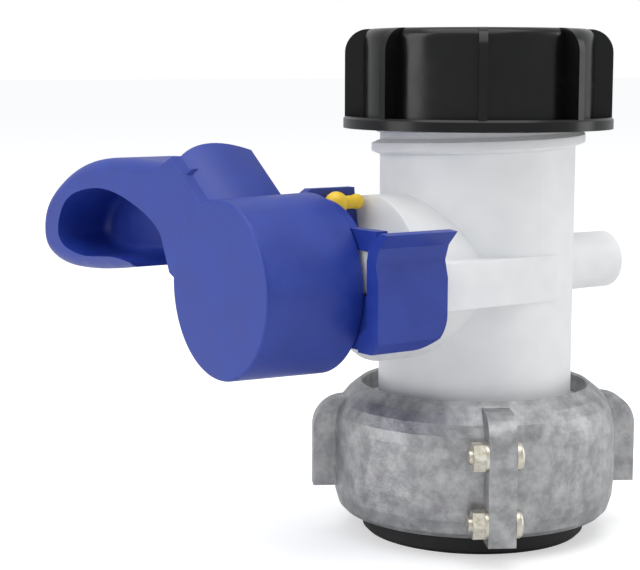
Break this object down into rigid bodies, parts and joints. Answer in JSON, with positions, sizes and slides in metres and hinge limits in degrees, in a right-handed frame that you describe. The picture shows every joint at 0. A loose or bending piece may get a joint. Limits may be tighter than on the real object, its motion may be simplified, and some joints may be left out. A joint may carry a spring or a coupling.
{
  "type": "ibc tank valve",
  "caption": "Quarter-turn butterfly valve with a capped threaded outlet, a swinging lever handle and a split bolted coupling nut for a tank outlet.",
  "frame": {"origin": "centre of the inlet bore's mouth, on the tube axis, at the underside of the inlet seal", "axes": "+Z along the flow tube towards the capped outlet, -Y along the stem towards the handle hub, -X along the grip when the valve is closed"},
  "size_m": [0.1493, 0.1347, 0.141],
  "materials": {
    "white_hdpe": "satin, slightly translucent",
    "blue_plastic": "satin",
    "black_plastic": "gloss",
    "cast_aluminium": "as cast",
    "zinc_steel": "zinc plated, yellow passivated",
    "stainless": "brushed",
    "yellow_plastic": "satin",
    "rubber": "matt",
    "foam_liner": "matt"
  },
  "bodies": {
    "body": {"valve_body": "white_hdpe", "lock_collar": "blue_plastic", "stem_bush": "foam_liner", "stem_circlip": "stainless", "inlet_seal": "rubber"},
    "lever": {"handle": "blue_plastic", "stem": "stainless", "valve_disc": "white_hdpe", "disc_seal": "rubber", "stem_o_rings": "rubber"},
    "liner": {"cap_liner": "foam_liner"},
    "cap": {"dust_cap": "black_plastic"},
    "coupling_nut": {"nut_half_front": "cast_aluminium", "nut_half_rear": "cast_aluminium", "near_seam_bolts": "zinc_steel", "near_seam_washers": "zinc_steel", "near_seam_nuts": "zinc_steel", "far_seam_bolts": "zinc_steel", "far_seam_washers": "zinc_steel", "far_seam_nuts": "zinc_steel"},
    "tamper_seal": {"seal_pin": "yellow_plastic"}
  },
  "joints": [
    {"name": "handle_turn", "type": "hinge", "parent": "body", "child": "lever", "pos_m": [0, 0, 0.074], "axis": [0, 1, 0], "range_deg": [0, 90]},
    {"name": "cap_lift", "type": "slide", "parent": "body", "child": "liner", "axis": [0, 0, 1], "range_m": [0, 0.0215]},
    {"name": "cap_turn", "type": "hinge", "parent": "liner", "child": "cap", "pos_m": [0, 0, 0.12], "axis": [0, 0, 1], "range_deg": [0, 1260]},
    {"name": "coupling_nut_spin", "type": "hinge", "parent": "body", "child": "coupling_nut", "pos_m": [0, 0, 0.02], "axis": [0, 0, 1], "continuous": true},
    {"name": "seal_pull", "type": "slide", "parent": "body", "child": "tamper_seal", "axis": [1, 0, 0], "range_m": [0, 0.012]}
  ],
  "couplings": [
    {"joint": "cap_lift", "follows": "cap_turn", "m_per_rad": 0.00095493}
  ]
}
